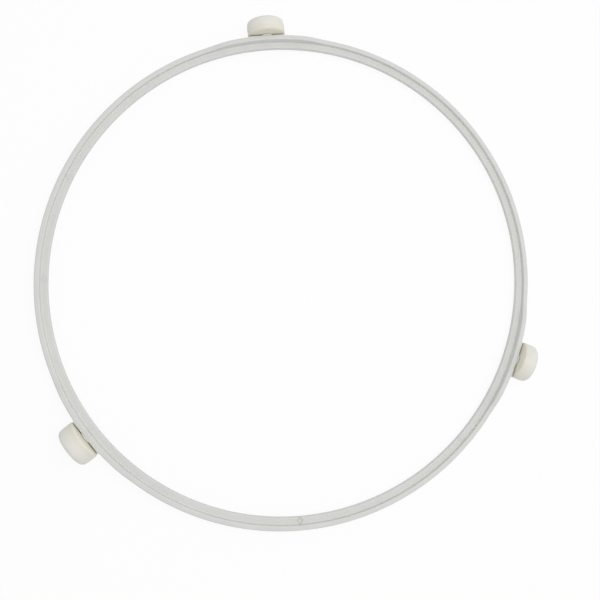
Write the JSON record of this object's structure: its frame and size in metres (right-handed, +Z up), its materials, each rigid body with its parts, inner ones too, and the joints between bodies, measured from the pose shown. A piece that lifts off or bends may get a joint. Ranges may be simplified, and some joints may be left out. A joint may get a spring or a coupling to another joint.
{
  "type": "microwave roller ring",
  "caption": "Moulded plastic ring with a raised rim and radial axles, each carrying a free-running roller, that carries a microwave's glass turntable plate round on the oven floor.",
  "frame": {"origin": "on the ring's axis, in the plane of the floor that the rollers stand on", "axes": "+Z up along the ring's axis, towards the plate; +Y along the axle of roller_1"},
  "size_m": [0.203, 0.2099, 0.0158],
  "materials": {
    "ring_plastic": "satin moulded grey",
    "roller_plastic": "satin moulded cream"
  },
  "bodies": {
    "ring": {"ring": "ring_plastic"},
    "roller_1": {"roller_1": "roller_plastic"},
    "roller_2": {"roller_2": "roller_plastic"},
    "roller_3": {"roller_3": "roller_plastic"}
  },
  "joints": [
    {"name": "roller_1_spin", "type": "hinge", "parent": "ring", "child": "roller_1", "pos_m": [0, 0.10518, 0.0079], "axis": [0, 1, 0], "continuous": true},
    {"name": "roller_2_spin", "type": "hinge", "parent": "ring", "child": "roller_2", "pos_m": [-0.09108, -0.05259, 0.0079], "axis": [-0.866, -0.5, 0], "continuous": true},
    {"name": "roller_3_spin", "type": "hinge", "parent": "ring", "child": "roller_3", "pos_m": [0.09108, -0.05259, 0.0079], "axis": [0.866, -0.5, 0], "continuous": true}
  ]
}
